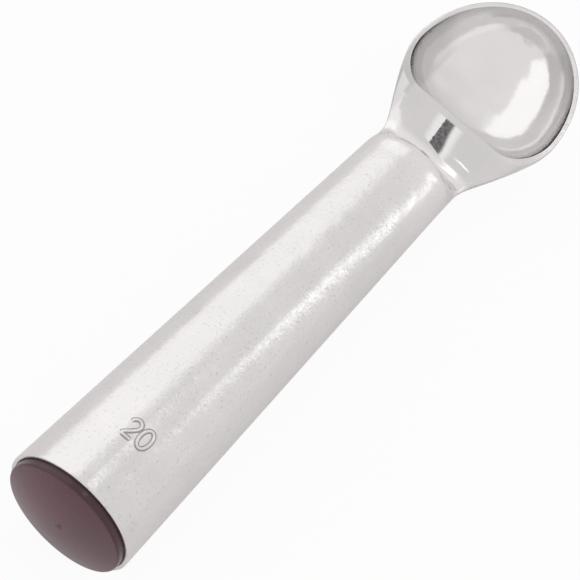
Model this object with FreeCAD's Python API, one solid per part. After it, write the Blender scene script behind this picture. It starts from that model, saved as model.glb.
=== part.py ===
"""Ice cream scoop: a one-piece aluminium casting with a hollow handle full of heat-carrying liquid.

The casting is built along the axis of its handle, with x = 0 at the rim of the butt and the
bowl open upwards. It is then laid down as it comes to rest, on the lowest point of the butt's
rim and on the belly of the bowl. The origin is on the ground under the middle of the object.
"""
import FreeCAD, Part
import math
import os

os.makedirs("parts", exist_ok=True)

V = FreeCAD.Vector
X, Y, Z = V(1, 0, 0), V(0, 1, 0), V(0, 0, 1)
ZERO = V(0, 0, 0)

# Handle: a long cone with its blunt end at the butt
butt_radius = 15.5          # outside, at the rim
taper = 0.0274              # radius lost for each mm towards the neck
cone_length = 108.0         # the plain cone ends here and the neck begins
rim_edge_round = 0.3        # outer edge of the mouth

# Bowl, outside: measured from its widest place, where the plane of the lip crosses the middle
neck_length = 45.6          # from the end of the cone to the widest place of the bowl
bowl_z = 4.9                # above the handle axis
bowl_half_width = 22.0
bowl_nose = 27.4            # from the widest place to the tip, along the plane of the lip
bowl_belly = 19.6           # below the plane of the lip, at the deepest place
lip_tilt = 12.0             # degrees: the lip rises towards the tip

# Bowl, inside
lip_wall = 1.15             # width of the lip at the sides and the tip
floor_wall = 2.7            # thickness under the deepest place
heel_set_back = 10.5        # from the widest place back to the straight heel of the opening
heel_slope = 16.0           # degrees: the heel wall leans back
heel_corner = 9.0           # radius between the heel wall and the round of the bowl

# Neck: the casting between the handle and the bowl
saddle_height = -0.5        # of the lowest line of the saddle above the handle axis
climb_radius = 8.0          # of the climb from the saddle to the heel, seen from the side
climb_room = 4.5            # behind the heel, where the plane of the lip is clear of the saddle
seam_step = 0.03            # the rear of the bowl lies this far inside its front, at the widest place
saddle_widest = -2.0        # height of the widest line of the cross-section at the saddle
heel_fullness = 1.2         # squareness of the cross-section's top at the heel
under_fullness = 0.45       # squareness of the underside where the neck is slimmest
station_step = 3.0          # between the cross-sections

# Places along the neck, as a share of its length from the end of the cone
shoulder_share = 0.2632     # the top of the handle begins to round over
saddle_share = 0.4934       # and has come down to the saddle
climb_share = 0.5921        # the saddle begins to climb to the heel of the lip
belly_share = 0.3947        # the underside leaves the cone
flare_share = 0.4276        # the sides leave the cone
under_share = 0.7237        # the underside of the neck is slimmest here
lean_share = 0.921          # the cross-sections stand square to the lip from here on

# Bore: the sealed space in the handle
bore_wall = 2.4             # thickness of the handle's wall
bore_overrun = 2.0          # of the blind bore past the end of the cone
bore_end_round = 6.0
seat_wall = 1.0             # thin wall round the head of the cap
seat_depth = 1.6            # how far the head of the cap is sunk

# End cap
cap_proud = 1.7             # straight side of the head, outside the rim
cap_dome = 1.7              # further rise of its face
cap_edge_round = 0.5
cap_clearance = 0.08        # round the head
skirt_length = 9.0          # the plug inside the bore
skirt_wall = 1.6
skirt_clearance = 0.25
rib_count = 2               # sealing ribs round the skirt
rib_set_back = 1.5          # of the first rib from the end of the skirt
rib_pitch = 3.0
rib_width = 0.8
rib_height = 0.2
face_thickness = 2.2        # under the middle of the domed face

# Liquid charge
fill_height = 6.0           # of its level above the handle axis, at the butt

# Working values, with no part in the shape
overshoot = 1.0             # cutters pass through open ends by this much
block_size = 500.0          # of a block that stands for half of space
same_place = 0.01           # edges this near to a place are the ones looked for
extra_stations = 3          # cross-sections past each end of the neck, trimmed off again
steepest_rest = 5.0         # degrees: the handle's slope at rest is looked for within this
rest_steps = 14             # halvings in that search

ELLIPTIC = math.sqrt(0.5)   # weight that makes a conic quarter elliptical

bowl_x = cone_length + neck_length
bore_end = cone_length + bore_overrun
shoulder_start = cone_length + neck_length * shoulder_share
saddle_start = cone_length + neck_length * saddle_share
climb_start = cone_length + neck_length * climb_share
belly_start = cone_length + neck_length * belly_share
flare_start = cone_length + neck_length * flare_share
under_middle = cone_length + neck_length * under_share
lean_end = cone_length + neck_length * lean_share
tilt = math.radians(lip_tilt)
ALONG = V(math.cos(tilt), 0, math.sin(tilt))    # along the lip, towards the tip
UP = V(-math.sin(tilt), 0, math.cos(tilt))      # square to the plane of the lip
BOWL = V(bowl_x, 0, bowl_z)


def cone_radius(x):
    """Outside radius of the handle."""
    return butt_radius - taper * x


def lip_height(x):
    """Height of the plane of the lip above the handle axis."""
    return bowl_z + (x - bowl_x) * math.tan(tilt)


def blend(low, high, value):
    """0 below low, 1 above high and a smooth step between."""
    q = min(max((value - low) / (high - low), 0.0), 1.0)
    return q * q * (3.0 - 2.0 * q)


def mix(first, second, share):
    """Value that lies between first and second."""
    return first + (second - first) * share


def half_space(origin, normal):
    """A large block on the side of a plane that its normal points to."""
    block = Part.makeBox(block_size, block_size, block_size, V(-block_size / 2, -block_size / 2, 0))
    block.Placement = FreeCAD.Placement(origin, FreeCAD.Rotation(Z, normal))
    return block


def quarter(start, corner, end, fullness):
    """A conic quarter from start to end that bulges towards corner."""
    curve = Part.BezierCurve()
    curve.setPoles([start, corner, end])
    curve.setWeight(2, fullness)
    return curve.toShape()


def section(centre, up, half_width, rise, drop, fullness, under):
    """Closed cross-section: half_width to each side, rise above its widest line, drop below it."""
    right = centre - Y * half_width
    left = centre + Y * half_width
    top = centre + up * rise
    low = centre - up * drop
    return Part.Wire([
        quarter(right, right + up * rise, top, fullness),
        quarter(top, left + up * rise, left, fullness),
        quarter(left, left - up * drop, low, under),
        quarter(low, right - up * drop, right, under),
    ])


def outer_section(x):
    """Cross-section of the neck and of the widest part of the bowl."""
    full_width = bowl_half_width - seam_step
    full_depth = bowl_belly - seam_step
    lean = blend(flare_start, lean_end, x)
    up = V(-math.sin(tilt * lean), 0, math.cos(tilt * lean))
    half_width = mix(cone_radius(x), full_width, blend(flare_start, bowl_x, x))
    top = mix(cone_radius(x), saddle_height, blend(shoulder_start, saddle_start, x))
    top += max(x - climb_start, 0.0) ** 2 / (2 * climb_radius)
    bottom = mix(-cone_radius(x), lip_height(x) - full_depth, blend(belly_start, bowl_x, x))
    widest = mix(0.0, saddle_widest, blend(shoulder_start, saddle_start, x))
    widest = mix(widest, lip_height(x), blend(climb_start, lean_end, x))
    rise, drop = top - widest, widest - bottom
    if x > bowl_x:
        share = math.sqrt(1.0 - ((x - bowl_x) / math.cos(tilt) / bowl_nose) ** 2)
        half_width, drop = full_width * share, full_depth * share
    fullness = mix(ELLIPTIC, heel_fullness, blend(saddle_start, bowl_x - heel_set_back, x))
    slimming = blend(belly_start, under_middle, x) * (1.0 - blend(under_middle, bowl_x, x))
    under = mix(ELLIPTIC, under_fullness, slimming)
    return section(V(x, 0, widest), up, half_width, rise, drop, fullness, under)


def stretched(shape, length, width, height):
    """A unit shape stretched along the three directions of the bowl and put in its place."""
    matrix = FreeCAD.Matrix()
    matrix.scale(length, width, height)
    shape = shape.transformGeometry(matrix)
    shape.Placement = FreeCAD.Placement(BOWL, FreeCAD.Rotation(Y, -lip_tilt))
    return shape


def make_neck():
    """The neck with the rear of the bowl, up to the bowl's widest place."""
    span = bowl_x - cone_length
    steps = round(span / station_step)
    counts = range(-extra_stations, steps + 1 + extra_stations)
    stations = [outer_section(cone_length + span * count / steps) for count in counts]
    neck = Part.makeLoft(stations, True)
    neck = neck.common(half_space(V(cone_length, 0, 0), X))
    return neck.common(half_space(BOWL, ALONG * -1))


def make_bowl_front():
    """The outside of the bowl in front of its widest place, up to the plane of the lip."""
    arc = Part.makeCircle(1.0, ZERO, Y, 0, 90)
    radii = [Part.makeLine(arc.Vertexes[-1].Point, ZERO), Part.makeLine(ZERO, arc.Vertexes[0].Point)]
    profile = Part.Face(Part.Wire([arc] + radii))
    profile.rotate(ZERO, Z, -90)
    return stretched(profile.revolve(ZERO, Z, 180), bowl_nose, bowl_half_width, bowl_belly)


def make_bowl_space():
    """The space inside the bowl, carried on above the lip.

    It is turned as a unit ball with a flat side and a rounded corner, and then stretched.
    """
    length = bowl_nose - lip_wall
    width = bowl_half_width - lip_wall
    height = bowl_belly - floor_wall
    corner = heel_corner / width
    slope = math.radians(heel_slope)
    out = V(math.cos(slope) * length, 0, math.sin(slope) * height).normalize()
    across = V(-out.z, 0, out.x)
    flat = -heel_set_back / length * out.x
    corner_place = flat + corner
    corner_radius = math.sqrt((1 - corner) ** 2 - corner_place ** 2)
    corner_middle = out * corner_place + across * corner_radius
    to_ball = V(corner_middle).normalize()
    start = out * flat
    foot = start + across * corner_radius
    bend = corner_middle + (to_ball - out).normalize() * corner
    top = (to_ball + out).normalize()
    outline = Part.Wire([
        Part.makeLine(start, foot),
        Part.Arc(foot, bend, to_ball).toShape(),
        Part.Arc(to_ball, top, out).toShape(),
        Part.makeLine(out, start),
    ])
    return stretched(Part.Face(outline).revolve(ZERO, out, 360), length, width, height)


def turned(points):
    """Solid of revolution about the handle axis from (x, radius) corners."""
    corners = [V(x, 0, radius) for x, radius in points]
    return Part.Face(Part.makePolygon(corners + corners[:1])).revolve(ZERO, X, 360)


def edges_at(shape, x, radius):
    """Circular edges of a turned shape at the given place and size."""
    round_edges = [edge for edge in shape.Edges
                   if not edge.Degenerated and edge.Curve.TypeId == "Part::GeomCircle"]
    return [edge for edge in round_edges
            if abs(edge.Curve.Radius - radius) + abs(edge.Curve.Center.x - x) < same_place]


def bore_radius(x):
    """Inside radius of the handle."""
    return cone_radius(x) - bore_wall


def make_bore():
    """The blind bore with the wider seat for the head of the cap."""
    bore = turned([(0, 0), (0, bore_radius(0)), (bore_end, bore_radius(bore_end)), (bore_end, 0)])
    return bore.makeFillet(bore_end_round, edges_at(bore, bore_end, bore_radius(bore_end)))


def make_seat():
    """The wider mouth of the bore."""
    radius = butt_radius - seat_wall
    return turned([(-overshoot, 0), (-overshoot, radius), (seat_depth, radius), (seat_depth, 0)])


def make_body():
    """The casting."""
    cone = turned([(0, 0), (0, butt_radius), (cone_length, cone_radius(cone_length)), (cone_length, 0)])
    cone = cone.makeFillet(rim_edge_round, edges_at(cone, 0, butt_radius))
    behind_heel = BOWL - ALONG * (heel_set_back + climb_room)
    above_lip = half_space(BOWL, UP).common(half_space(behind_heel, ALONG))
    body = cone.fuse([make_neck().cut(above_lip), make_bowl_front()])
    body = body.cut(make_bowl_space())
    return body.cut(make_bore()).cut(make_seat())


def skirt_radius():
    """Outside radius of the cap's skirt."""
    return bore_radius(skirt_length) - skirt_clearance


def make_cap_hollow(end):
    """The hollow of the cap, from under its face to the given place along the handle."""
    start = face_thickness - cap_proud - cap_dome
    radius = skirt_radius() - skirt_wall
    return turned([(start, 0), (start, radius), (end, radius), (end, 0)])


def make_cap():
    """The moulded cap that closes the bore: a domed head, a hollow skirt and sealing ribs."""
    head_radius = butt_radius - seat_wall - cap_clearance
    dome_radius = (head_radius ** 2 + cap_dome ** 2) / (2 * cap_dome)
    crown = V(-cap_proud - cap_dome, 0, 0)
    edge_point = V(-cap_proud, 0, head_radius)
    half_angle = math.asin(head_radius / dome_radius) / 2
    middle = crown + V(dome_radius * (1 - math.cos(half_angle)), 0, dome_radius * math.sin(half_angle))
    face = Part.Arc(crown, middle, edge_point).toShape()
    corners = [edge_point, V(seat_depth, 0, head_radius), V(seat_depth, 0, 0), crown]
    head = Part.Face(Part.Wire([face] + Part.makePolygon(corners).Edges)).revolve(ZERO, X, 360)
    head = head.makeFillet(cap_edge_round, edges_at(head, -cap_proud, head_radius))
    skirt = turned([(0, 0), (0, skirt_radius()), (skirt_length, skirt_radius()), (skirt_length, 0)])
    ribs = []
    for count in range(rib_count):
        centre = V(skirt_length - rib_set_back - rib_pitch * count, 0, 0)
        ribs.append(Part.makeTorus(skirt_radius() + rib_height - rib_width / 2, rib_width / 2, centre, X))
    return head.fuse([skirt] + ribs).cut(make_cap_hollow(skirt_length + overshoot))


def make_liquid():
    """The liquid in the bore and in the hollow of the cap, up to its level."""
    in_bore = make_bore().common(half_space(V(skirt_length, 0, 0), X))
    return in_bore.fuse(make_cap_hollow(skirt_length)).removeSplitter()


def laid_down(shapes, body):
    """The pieces turned and moved so that the butt and the belly both touch the ground."""
    def lowest(part, angle):
        turned_part = part.copy()
        turned_part.rotate(ZERO, Y, angle)
        return turned_part.optimalBoundingBox().ZMin

    butt = body.common(half_space(V(cone_length / 2, 0, 0), X * -1))
    bowl = body.common(half_space(V(cone_length, 0, 0), X))
    low, high = -steepest_rest, steepest_rest
    for _ in range(rest_steps):
        angle = (low + high) / 2
        if lowest(bowl, angle) > lowest(butt, angle):
            low = angle
        else:
            high = angle
    placed = []
    for shape in shapes:
        shape = shape.copy()
        shape.rotate(ZERO, Y, angle)
        placed.append(shape)
    box = Part.makeCompound(placed).optimalBoundingBox()
    shift = V(-(box.XMin + box.XMax) / 2, -(box.YMin + box.YMax) / 2, -box.ZMin)
    for shape in placed:
        shape.translate(shift)
    return placed


body = make_body()
cap = make_cap()
body, cap, liquid = laid_down([body, cap, make_liquid()], body)
level = butt_radius + fill_height
liquid = liquid.common(half_space(V(0, 0, level), Z * -1))

for name, shape in (("scoop_body", body), ("end_cap", cap), ("heat_liquid", liquid)):
    assert shape.isValid() and len(shape.Solids) == 1, name
    shape.Solids[0].exportStep("parts/" + name + ".step")
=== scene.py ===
import math
import bpy
import bmesh
from mathutils import Matrix, Vector


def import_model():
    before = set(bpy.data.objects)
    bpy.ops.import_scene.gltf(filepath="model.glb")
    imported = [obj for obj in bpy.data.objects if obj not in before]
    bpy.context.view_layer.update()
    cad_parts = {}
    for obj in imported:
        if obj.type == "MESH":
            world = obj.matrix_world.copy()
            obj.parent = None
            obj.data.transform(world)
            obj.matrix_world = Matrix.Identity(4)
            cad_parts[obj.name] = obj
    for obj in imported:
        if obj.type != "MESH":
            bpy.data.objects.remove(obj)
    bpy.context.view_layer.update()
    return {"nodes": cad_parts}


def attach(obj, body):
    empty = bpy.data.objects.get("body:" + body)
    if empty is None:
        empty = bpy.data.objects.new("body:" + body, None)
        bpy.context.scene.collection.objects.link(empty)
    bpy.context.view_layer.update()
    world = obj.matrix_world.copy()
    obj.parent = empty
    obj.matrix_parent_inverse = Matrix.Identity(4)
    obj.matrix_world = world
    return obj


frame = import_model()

# Places are in metres in the part's frame: +X towards the bowl, +Y to the left seen from the butt, +Z up

# The handle: the middle of the butt's rim, how far the axis dips at rest, and the radius lost with length
BUTT = Vector((-0.08866, 0.0, 0.01549))
REST_TURN = math.radians(0.1495)
BUTT_RADIUS = 0.0155
TAPER = 0.0274
SHOULDER = 0.0430               # along X: the handle ends in the shoulder

# The space inside the bowl: its middle from the rim of the butt, its half sizes and the tilt of the lip
BOWL = Vector((0.1536, 0.0, 0.0049))
BOWL_HALF_SIZES = (0.02625, 0.02085, 0.0169)
LIP_TILT = math.radians(12.0)
POLISH_EDGE = (1.004, 1.03)     # the polish fades out over this, where 1 is the surface of that space

# The heel of the bowl, polished less than the rest
HEEL = (0.0710, 0.0060, 0.0056)
HEEL_HALF_SIZES = (0.0060, 0.0110, 0.0060)

# The end cap: the middle of its dome, the radius of the dome's edge, and a spot where its facets lose light
CROWN = (-0.092065, 0.0, 0.01550)
CROWN_FACET = (-0.092065, -0.00045, 0.01538)
CROWN_EDGE = (0.01405, 0.01430)

# The painted dark reflection in the saddle of the neck, a strip from the lip to the foot of the shoulder
PAINTED_REFLECTION_START = 0.0530             # along X
PAINTED_REFLECTION_LENGTH = 0.0075
PAINTED_REFLECTION_MIDDLE = (0.00080, -0.00030)       # along Y, at both ends
PAINTED_REFLECTION_HALF_WIDTH = (0.00150, 0.00205)    # at both ends
PAINTED_REFLECTION_JITTER = 0.0007
PAINTED_REFLECTION_LOWEST = (0.0120, 0.0130)          # along Z: nothing of it is on the underside
FOOT = 0.0452                   # along X: the shoulder meets the saddle, on the middle line
FOOT_SLANT = 0.317              # how much further along X for each metre across

# The metal: tones from darker to brighter, and roughness
CAST_TONES = ((0.735, 0.73, 0.73), (0.80, 0.795, 0.79))
POLISHED_TONES = ((0.79, 0.785, 0.785), (0.85, 0.845, 0.84))
PIT_TONE = (0.52, 0.51, 0.51, 1.0)
# painted sheen on the handle towards the shoulder
PAINTED_SHEEN_TONE = (0.95, 0.945, 0.94, 1.0)
# painted highlight beside the dark strip in the saddle
PAINTED_HIGHLIGHT_TONE = (0.96, 0.96, 0.955, 1.0)
# painted dark reflection in the saddle of the neck
PAINTED_REFLECTION_TONE = (0.12, 0.12, 0.12, 1.0)
# painted shade at the foot and sides of the numerals' strokes
STROKE_SHADE_TONE = (0.33, 0.32, 0.32, 1.0)
# mixed in as painted shade on the neck and as a painted dark reflection on one wall of the bowl
BLACK = (0.0, 0.0, 0.0, 1.0)
SATIN = 0.21
POLISH = 0.13
HAZE = 0.26                     # added to the roughness at the heel of the bowl

# The plastic of the cap
FACE_TONES = ((0.060, 0.012, 0.022), (0.085, 0.016, 0.030))
# painted shade: the cap's side painted darker than its face
PAINTED_SIDE_SHADE = (0.040, 0.006, 0.012, 1.0)
GLOSS = (0.13, 0.22)

# The number near the butt
NUMBER_PLACE = 0.01632          # middle of the numerals, from the rim of the butt
NUMBER_TOP = 0.00235            # half of the height between the middles of the strokes
NUMBER_SIDE = 0.00130           # half of the width of a numeral
TWO_MIDDLE = 0.00110            # along the round of the handle, from its top towards +Y
NOUGHT_MIDDLE = -0.00230
STROKE_END = 0.0004             # a stroke narrows and sinks over this at its ends
NARROWEST = 0.08                # share of the width that is left at an end
# Across a stroke: distance from its middle, height over the handle and how much painted shade darkens it,
# most at its foot and sides
STROKE = ((-0.00062, -0.00004, 0.45), (-0.00050, 0.00003, 1.0), (-0.00032, 0.00014, 0.95),
          (-0.00018, 0.00021, 0.0), (0.0, 0.00023, 0.0))

# The stage
FLOOR_HALF_SIZE = 3.0
FLOOR_TONE = (0.84, 0.825, 0.82, 1.0)
WHITE = (1.0, 1.0, 1.0, 1.0)
CAMERA_GLOW = 0.93              # share of plain white in the floor, as the camera sees it
CLEAR_GLOW = 0.72               # the same through clear things
MIRROR_GLOW = 0.15              # and in glossy things
ROOM_TONE = (1.0, 0.965, 0.97, 1.0)
ROOM_LEVEL = 0.86

# The big panel on the +Y side: the angle from straight up of the line to it, to which it stands square, the
# angle of its lower edge, its distance from the handle and the level that it adds
PANEL_TURN = math.radians(58)
PANEL_LOWEST = math.radians(92.6)
PANEL_DISTANCE = 1.0
PANEL_LEVEL = 0.30

# The camera: its place, its three directions and its focal length in pixels of a square picture
CAMERA = Vector((-0.231353, -0.041411, 0.353133))
CAMERA_RIGHT = Vector((0.593097, -0.750768, 0.290832))
CAMERA_UP = Vector((0.597365, 0.652519, 0.466233))
CAMERA_BACK = Vector((-0.539806, -0.102788, 0.835490))
FOCAL_PIXELS = 1800.0
PICTURE_PIXELS = 580.0
SENSOR = 36.0                   # mm


def from_butt(local):
    """The place in the frame of a point given from the rim of the butt, along the handle's own axes."""
    return BUTT + Matrix.Rotation(REST_TURN, 3, "Y") @ local


def on_handle(along, round_angle, lift=0.0):
    """A point on the handle: metres from the rim of the butt, and the angle from the top towards +Y."""
    radius = BUTT_RADIUS - TAPER * along + lift
    return from_butt(Vector((along, radius * math.sin(round_angle), radius * math.cos(round_angle))))


class Nodes:
    """Short calls for building one material's or the world's nodes."""

    def __init__(self, tree):
        self.tree = tree
        tree.nodes.clear()

    def add(self, kind, **values):
        node = self.tree.nodes.new(kind)
        for key, value in values.items():
            if key in node.inputs:
                self.put(node.inputs[key], value)
            else:
                setattr(node, key, value)
        return node

    def put(self, socket, value):
        if isinstance(value, bpy.types.NodeSocket):
            self.tree.links.new(value, socket)
        else:
            socket.default_value = value

    def place(self):
        return self.add("ShaderNodeTexCoord").outputs["Object"]

    def parts(self, vector):
        """The X, Y and Z of a vector."""
        return self.add("ShaderNodeSeparateXYZ", Vector=vector).outputs

    def math(self, operation, *values):
        node = self.add("ShaderNodeMath", operation=operation)
        for socket, value in zip(node.inputs, values):
            self.put(socket, value)
        return node.outputs[0]

    def times(self, *values):
        result = values[0]
        for value in values[1:]:
            result = self.math("MULTIPLY", result, value)
        return result

    def blend(self, first, second, share=0.5):
        """share of the first value and the rest of the second."""
        return self.math("ADD", self.times(first, share), self.times(second, 1.0 - share))

    def between(self, value, low, high, to_low=0.0, to_high=1.0):
        """A smooth step: to_low where the value is low and to_high where it is high."""
        node = self.add("ShaderNodeMapRange", interpolation_type="SMOOTHSTEP")
        for socket, item in zip(node.inputs, (value, low, high, to_low, to_high)):
            self.put(socket, item)
        return node.outputs[0]

    def noise(self, vector, scale, detail, roughness):
        node = self.add("ShaderNodeTexNoise", Vector=vector, Scale=scale, Detail=detail, Roughness=roughness)
        return node.outputs["Fac"]

    def distance(self, place, point):
        node = self.add("ShaderNodeVectorMath", operation="DISTANCE")
        self.put(node.inputs[0], place)
        self.put(node.inputs[1], point)
        return node.outputs["Value"]

    def reach(self, place, middle, half_sizes, tilt=0.0):
        """How far out a place lies in an ellipsoid turned about Y, where 1 is its surface."""
        turned = self.add("ShaderNodeMapping", vector_type="TEXTURE", Vector=place, Location=tuple(middle),
                          Rotation=(0.0, tilt, 0.0), Scale=half_sizes).outputs[0]
        return self.add("ShaderNodeVectorMath", operation="LENGTH", Vector=turned).outputs["Value"]

    def tone(self, value, darker, brighter):
        """A colour between two, which a noise of about 0.3 to 0.7 runs through."""
        node = self.add("ShaderNodeValToRGB")
        elements = node.color_ramp.elements
        for element, place, colour in zip(elements, (0.30, 0.70), (darker, brighter)):
            element.position = place
            element.color = (*colour, 1.0)
        self.put(node.inputs[0], value)
        return node.outputs[0]

    def mix(self, share, first, second):
        node = self.add("ShaderNodeMix", data_type="RGBA")
        self.put(node.inputs[0], share)
        self.put(node.inputs[6], first)
        self.put(node.inputs[7], second)
        return node.outputs[2]

    def bump(self, height, depth, strength, normal):
        return self.add("ShaderNodeBump", Strength=strength, Distance=depth, Height=height,
                        Normal=normal).outputs[0]

    def shader(self, **values):
        """A principled shader as the surface. An underscore in a name stands for a space."""
        node = self.add("ShaderNodeBsdfPrincipled")
        for key, value in values.items():
            self.put(node.inputs[key.replace("_", " ")], value)
        self.show(node.outputs[0])

    def show(self, surface, output="ShaderNodeOutputMaterial"):
        self.put(self.add(output).inputs["Surface"], surface)


def new_material(name):
    material = bpy.data.materials.new(name)
    material.use_nodes = True
    return material, Nodes(material.node_tree)


def saddle_painted_reflection(n, place, speckle):
    """(dark, light): a dark reflection painted in the saddle of the neck, and a highlight painted on the
    metal beside it.
    """
    along, across, height = n.parts(place)
    run = n.math("DIVIDE", n.math("SUBTRACT", PAINTED_REFLECTION_START, along), PAINTED_REFLECTION_LENGTH)
    middle = n.between(run, 0.0, 1.0, *PAINTED_REFLECTION_MIDDLE)
    half = n.between(run, 0.0, 1.0, *PAINTED_REFLECTION_HALF_WIDTH)
    jitter = n.times(n.math("SUBTRACT", speckle, 0.5), PAINTED_REFLECTION_JITTER)
    side = n.math("ADD", n.math("SUBTRACT", across, middle), jitter)
    foot = n.math("ADD", FOOT, n.times(across, FOOT_SLANT))
    ends = n.times(n.between(n.math("SUBTRACT", along, foot), 0.0, 0.00045),
                   n.between(run, -0.02, 0.06), n.between(height, *PAINTED_REFLECTION_LOWEST))
    # the painted dark reflection, with a sharp edge on one side and a soft one on the other
    sharp_edge = n.between(n.math("SUBTRACT", half, side), -0.00008, 0.00024)
    soft_edge = n.between(n.math("ADD", half, side), -0.00045, 0.00085)
    dark = n.times(sharp_edge, soft_edge, ends)
    # painted highlight on the metal on either side of the strip
    light = n.times(n.between(n.math("ABSOLUTE", side), 0.0026, 0.0046, 1.0, 0.0), ends)
    return dark, light


def painted_light_tone(n, place, polished, speckle, tone):
    """The tone with painted light: a painted sheen at the end of the handle, painted shade on the neck, a
    painted dark reflection at one wall of the bowl, and in the saddle a painted dark reflection with a
    painted highlight beside it.
    """
    along, across = n.parts(place)[:2]
    # painted sheen: the handle painted brighter towards the shoulder
    painted_sheen = n.times(n.between(along, 0.010, 0.040, 0.0, 0.35), n.between(along, SHOULDER, 0.0450, 1.0, 0.0))
    tone = n.mix(painted_sheen, tone, PAINTED_SHEEN_TONE)
    # painted shade: the neck painted darker
    painted_neck_shade = n.times(n.between(along, SHOULDER, 0.0455, 0.0, 0.13),
                        n.between(along, 0.054, 0.066, 1.0, 0.0))
    tone = n.mix(painted_neck_shade, tone, BLACK)
    # painted dark reflection: one wall of the polished bowl painted darker
    painted_wall_reflection = n.times(polished, n.between(across, 0.0132, 0.0146, 0.0, 0.15),
                        n.between(along, 0.073, 0.081, 1.0, 0.0))
    tone = n.mix(painted_wall_reflection, tone, BLACK)
    # the painted dark reflection in the saddle, and the painted highlight beside it
    dark, light = saddle_painted_reflection(n, place, speckle)
    tone = n.mix(n.times(light, 0.9), tone, PAINTED_HIGHLIGHT_TONE)
    return n.mix(n.times(dark, n.between(speckle, 0.34, 0.66, 1.0, 0.87)), tone, PAINTED_REFLECTION_TONE)


def finish_metal(name, bump_strength, shade_attribute=None):
    """Tumbled cast aluminium: satin with a fine speckle and pits, and polished inside the bowl."""
    material, n = new_material(name)
    place = n.place()
    reach = n.reach(place, from_butt(BOWL), BOWL_HALF_SIZES, REST_TURN - LIP_TILT)
    polished = n.between(reach, *POLISH_EDGE, 1.0, 0.0)
    unpolished = n.math("SUBTRACT", 1.0, polished)

    speckle = n.noise(place, 1500.0, 2.0, 0.6)
    grain = n.noise(place, 620.0, 3.0, 0.55)
    mottle = n.noise(place, 150.0, 3.0, 0.6)
    cloud = n.noise(place, 38.0, 2.0, 0.5)

    blotch = n.blend(mottle, cloud)
    tone = n.mix(polished, n.tone(blotch, *CAST_TONES), n.tone(blotch, *POLISHED_TONES))
    pits = n.times(n.between(speckle, 0.57, 0.76, 0.0, 0.60), unpolished)
    tone = n.mix(pits, tone, PIT_TONE)
    if shade_attribute:
        # painted shade at the foot and sides of each stroke, from each point's shade value
        shade = n.add("ShaderNodeAttribute", attribute_name=shade_attribute).outputs["Fac"]
        tone = n.mix(shade, tone, STROKE_SHADE_TONE)
    else:
        # painted light: sheen, shade, dark reflections and highlights
        tone = painted_light_tone(n, place, polished, speckle, tone)

    satin = n.between(n.blend(grain, mottle, 0.6), 0.30, 0.70, SATIN - 0.05, SATIN + 0.05)
    polish = n.between(mottle, 0.30, 0.70, POLISH - 0.03, POLISH + 0.03)
    haze = n.between(n.reach(place, HEEL, HEEL_HALF_SIZES), 0.65, 1.25, HAZE, 0.0)
    polish = n.math("ADD", polish, haze)
    rough = n.math("ADD", n.times(satin, unpolished), n.times(polish, polished))

    edge_radius = n.between(reach, *POLISH_EDGE, 0.0002, 0.0006)
    edge = n.add("ShaderNodeBevel", samples=8, Radius=edge_radius).outputs[0]
    strength = n.between(reach, *POLISH_EDGE, bump_strength * 0.25, bump_strength)
    fine = n.bump(n.blend(speckle, grain), 0.00012, strength, edge)
    wavy = n.bump(mottle, 0.0004, n.between(reach, *POLISH_EDGE, 0.10, 0.35), fine)
    n.shader(Metallic=1.0, Roughness=rough, Normal=wavy, Base_Color=tone)
    return material


def finish_cap(name):
    """Glossy moulded plastic of a dark burgundy, with faint clouds and hairline scratches, and painted shade
    that makes its side darker than its face.
    """
    material, n = new_material(name)
    place = n.place()
    cloud = n.noise(place, 90.0, 3.0, 0.5)
    fine = n.noise(place, 900.0, 2.0, 0.6)
    stretched = n.add("ShaderNodeMapping", Vector=place, Scale=(1.0, 0.25, 4.0)).outputs[0]
    hair = n.noise(stretched, 1400.0, 1.0, 0.4)

    from_axis = n.reach(place, BUTT, (1.0e4, 1.0, 1.0))
    # painted shade: beyond the dome's edge the side takes the darker tone
    tone = n.mix(n.between(from_axis, *CROWN_EDGE), n.tone(cloud, *FACE_TONES), PAINTED_SIDE_SHADE)
    rough = n.between(n.blend(cloud, fine), 0.30, 0.70, *GLOSS)
    rough = n.math("ADD", rough, n.between(hair, 0.66, 0.72, 0.0, 0.10))

    # the facets meet in one point at the crown, so the axis stands in for their normals there
    edge = n.add("ShaderNodeBevel", samples=6, Radius=0.0003).outputs[0]
    edge = n.mix(n.between(n.distance(place, CROWN), 0.0008, 0.0022, 1.0, 0.0), edge, (-1.0, 0.0, 0.0, 1.0))
    normal = n.bump(cloud, 0.0003, 0.3, n.bump(fine, 0.00005, 0.25, edge))
    # and a little light stands in for what they lose beside it
    glow = n.between(n.distance(place, CROWN_FACET), 0.00010, 0.00065, 0.050, 0.0)
    n.shader(Base_Color=tone, Roughness=rough, IOR=1.5, Normal=normal, Coat_Normal=edge, Coat_Weight=0.2,
             Coat_Roughness=0.05, Emission_Color=(1.0, 0.75, 0.82, 1.0), Emission_Strength=glow)
    return material


def finish_liquid(name):
    """The clear charge inside the handle, with a faint haze."""
    material, n = new_material(name)
    haze = n.noise(n.place(), 60.0, 2.0, 0.5)
    n.shader(Base_Color=n.tone(haze, (0.86, 0.92, 0.93), (0.93, 0.96, 0.97)),
             Roughness=n.between(haze, 0.30, 0.70, 0.02, 0.06), IOR=1.37, Transmission_Weight=1.0)
    return material


def dress(node, material):
    """The material in every slot of a CAD node."""
    slots = node.material_slots
    if not slots:
        node.data.materials.append(material)
    for item in slots:
        item.link = "OBJECT"
        item.material = material


def smooth_line(corners, steps):
    """Points on a smooth curve through the corners."""
    line = []
    padded = [corners[0]] + corners + [corners[-1]]
    for count in range(len(corners) - 1):
        a, b, c, d = padded[count:count + 4]
        for step in range(steps):
            t = step / steps
            line.append(0.5 * (2 * b + (c - a) * t + (2 * a - 5 * b + 4 * c - d) * t * t
                               + (3 * b - a - 3 * c + d) * t ** 3))
    return line + [corners[-1]]


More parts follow.
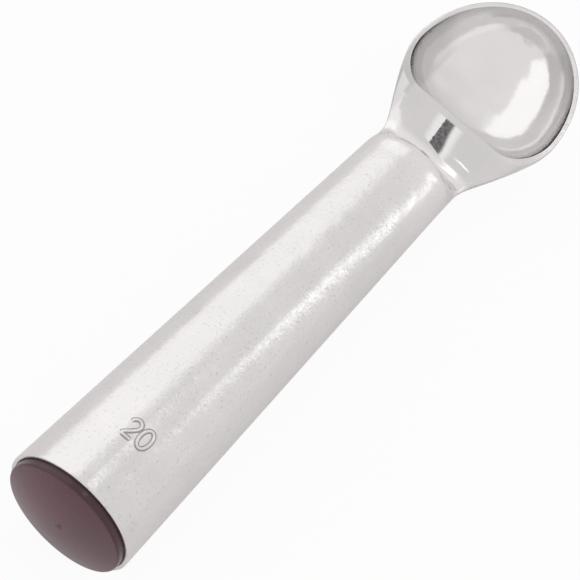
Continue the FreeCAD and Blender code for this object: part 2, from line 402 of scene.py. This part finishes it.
def stroke(bm, shade, middle, line, closed=False):
    """One raised stroke along a line of (right, up) points, wrapped on the handle."""
    profile = list(STROKE) + [(-offset, lift, tone) for offset, lift, tone in reversed(STROKE[:-1])]
    count = len(line)
    rows = []
    for index, point in enumerate(line):
        before = line[index - 1] if index or closed else point
        after = line[(index + 1) % count] if index < count - 1 or closed else point
        along = (after - before).normalized()
        aside = Vector((along.y, -along.x))
        from_end = min((line[0] - point).length, (line[-1] - point).length)
        full = 1.0 if closed else math.sqrt(1.0 - (1.0 - min(from_end / STROKE_END, 1.0)) ** 2)
        row = []
        for offset, lift, tone in profile:
            spot = point + aside * offset * max(full, NARROWEST)
            radius = BUTT_RADIUS - TAPER * (NUMBER_PLACE + spot.y)
            vert = bm.verts.new(on_handle(NUMBER_PLACE + spot.y, (middle - spot.x) / radius,
                                          lift * full if lift > 0 else lift))
            # painted shade for this point of the stroke
            vert[shade] = tone
            row.append(vert)
        rows.append(row)
    if closed:
        rows.append(rows[0])
    for first, second in zip(rows, rows[1:]):
        for left in range(len(profile) - 1):
            bm.faces.new((first[left], first[left + 1], second[left + 1], second[left]))


def number():
    """A plain 20, raised on the top of the handle near the butt."""
    bm = bmesh.new()
    shade = bm.verts.layers.float.new("shade")
    w, h = NUMBER_SIDE, NUMBER_TOP
    bend = [Vector(point) for point in (
        (-0.92 * w, 0.50 * h), (-0.78 * w, 0.78 * h), (-0.22 * w, h), (0.40 * w, 0.95 * h),
        (0.86 * w, 0.68 * h), (0.84 * w, 0.28 * h), (0.20 * w, -0.22 * h), (-0.66 * w, -0.68 * h), (-w, -h))]
    foot = [Vector((-w, -h)), Vector((0.0, -h)), Vector((w, -h))]
    ring = [Vector((w * math.cos(turn * math.pi / 24), h * math.sin(turn * math.pi / 24)))
            for turn in range(48)]
    stroke(bm, shade, TWO_MIDDLE, smooth_line(bend, 6))
    stroke(bm, shade, TWO_MIDDLE, smooth_line(foot, 8))
    stroke(bm, shade, NOUGHT_MIDDLE, ring, closed=True)
    bmesh.ops.recalc_face_normals(bm, faces=bm.faces)
    for face in bm.faces:
        face.smooth = True
    mesh = bpy.data.meshes.new("portion_number")
    bm.to_mesh(mesh)
    bm.free()
    piece = bpy.data.objects.new("portion_number", mesh)
    bpy.context.scene.collection.objects.link(piece)
    mesh.materials.append(finish_metal("number_aluminium", 0.3, "shade"))
    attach(piece, "root")


def floor():
    """A pale matt floor that the camera sees almost white, with a faint shadow."""
    mesh = bpy.data.meshes.new("floor")
    size = FLOOR_HALF_SIZE
    corners = [(-size, -size, 0), (size, -size, 0), (size, size, 0), (-size, size, 0)]
    mesh.from_pydata(corners, [], [(0, 1, 2, 3)])
    plane = bpy.data.objects.new("floor", mesh)
    bpy.context.scene.collection.objects.link(plane)
    material, n = new_material("pale_floor")
    path = n.add("ShaderNodeLightPath").outputs
    glow = n.times(path["Is Camera Ray"], CAMERA_GLOW)
    glow = n.math("MAXIMUM", glow, n.times(path["Is Glossy Ray"], MIRROR_GLOW))
    glow = n.math("MAXIMUM", glow, n.times(path["Is Transmission Ray"], CLEAR_GLOW))
    mixed = n.add("ShaderNodeMixShader")
    n.put(mixed.inputs[0], glow)
    n.put(mixed.inputs[1], n.add("ShaderNodeBsdfDiffuse", Color=FLOOR_TONE).outputs[0])
    n.put(mixed.inputs[2], n.add("ShaderNodeEmission", Color=WHITE, Strength=1.0).outputs[0])
    n.show(mixed.outputs[0])
    mesh.materials.append(material)


def world():
    """A bright, slightly warm room, which the camera sees as plain white."""
    here = bpy.data.worlds.new("studio")
    bpy.context.scene.world = here
    here.use_nodes = True
    n = Nodes(here.node_tree)
    mixed = n.add("ShaderNodeMixShader")
    n.put(mixed.inputs[0], n.add("ShaderNodeLightPath").outputs["Is Camera Ray"])
    n.put(mixed.inputs[1], n.add("ShaderNodeBackground", Color=ROOM_TONE, Strength=ROOM_LEVEL).outputs[0])
    n.put(mixed.inputs[2], n.add("ShaderNodeBackground", Color=WHITE, Strength=1.0).outputs[0])
    n.show(mixed.outputs[0], "ShaderNodeOutputWorld")


def softbox(name, place, towards, width, height, level, along):
    """An area lamp that adds the given level to what is seen of the room. along is its width's direction."""
    lamp = bpy.data.lights.new(name, "AREA")
    lamp.shape = "RECTANGLE"
    lamp.size = width
    lamp.size_y = height
    lamp.energy = level * math.pi * width * height
    obj = bpy.data.objects.new(name, lamp)
    bpy.context.scene.collection.objects.link(obj)
    back = (Vector(place) - Vector(towards)).normalized()
    side = Vector(along) - back * Vector(along).dot(back)
    side.normalize()
    turn = Matrix((side, back.cross(side), back)).transposed().to_4x4()
    obj.matrix_world = Matrix.Translation(Vector(place)) @ turn
    obj.visible_camera = False


def side_panel(name, start, end, top):
    """One part of the big panel, from start to end along X and up to top degrees from straight up."""
    high = math.tan(math.radians(top) - PANEL_TURN) * PANEL_DISTANCE
    low = math.tan(PANEL_LOWEST - PANEL_TURN) * PANEL_DISTANCE
    outwards = Vector((0.0, math.sin(PANEL_TURN), math.cos(PANEL_TURN)))
    downwards = Vector((0.0, math.cos(PANEL_TURN), -math.sin(PANEL_TURN)))
    middle = Vector(((start + end) / 2, 0.0, BUTT.z)) + downwards * (high + low) / 2
    softbox(name, middle + outwards * PANEL_DISTANCE, middle, end - start, low - high, PANEL_LEVEL, (1, 0, 0))


def lamps():
    """The panel in three parts, a narrow strip for the streak on the right of the handle, and a far lamp."""
    side_panel("side_panel_front", 0.10, 0.99, 23.4)
    side_panel("side_panel_middle", -0.75, 0.10, 28.0)
    side_panel("side_panel_rear", -1.71, -0.75, 38.0)
    softbox("standing_strip", (0.41, -0.425, 0.355), (0.0, 0.02, 0.07), 0.033, 0.41, 1.3, (0.75, 0.66, 0))
    softbox("far_lamp", (1.12, -0.153, 2.81), (0.045, -0.006, 0.0145), 0.36, 0.42, 0.8, (0, 1, 0))


def camera():
    data = bpy.data.cameras.new("camera")
    data.sensor_width = SENSOR
    data.sensor_fit = "HORIZONTAL"
    data.lens = SENSOR * FOCAL_PIXELS / PICTURE_PIXELS
    data.clip_start = 0.01
    data.clip_end = 20.0
    obj = bpy.data.objects.new("camera", data)
    bpy.context.scene.collection.objects.link(obj)
    turn = Matrix((CAMERA_RIGHT, CAMERA_UP, CAMERA_BACK)).transposed().to_4x4()
    obj.matrix_world = Matrix.Translation(CAMERA) @ turn
    bpy.context.scene.camera = obj


dress(frame["nodes"]["scoop_body"], finish_metal("cast_aluminium", 0.45))
dress(frame["nodes"]["end_cap"], finish_cap("burgundy_plastic"))
dress(frame["nodes"]["heat_liquid"], finish_liquid("clear_liquid"))
number()
floor()
world()
camera()
lamps()
bpy.context.scene.view_settings.view_transform = "Standard"
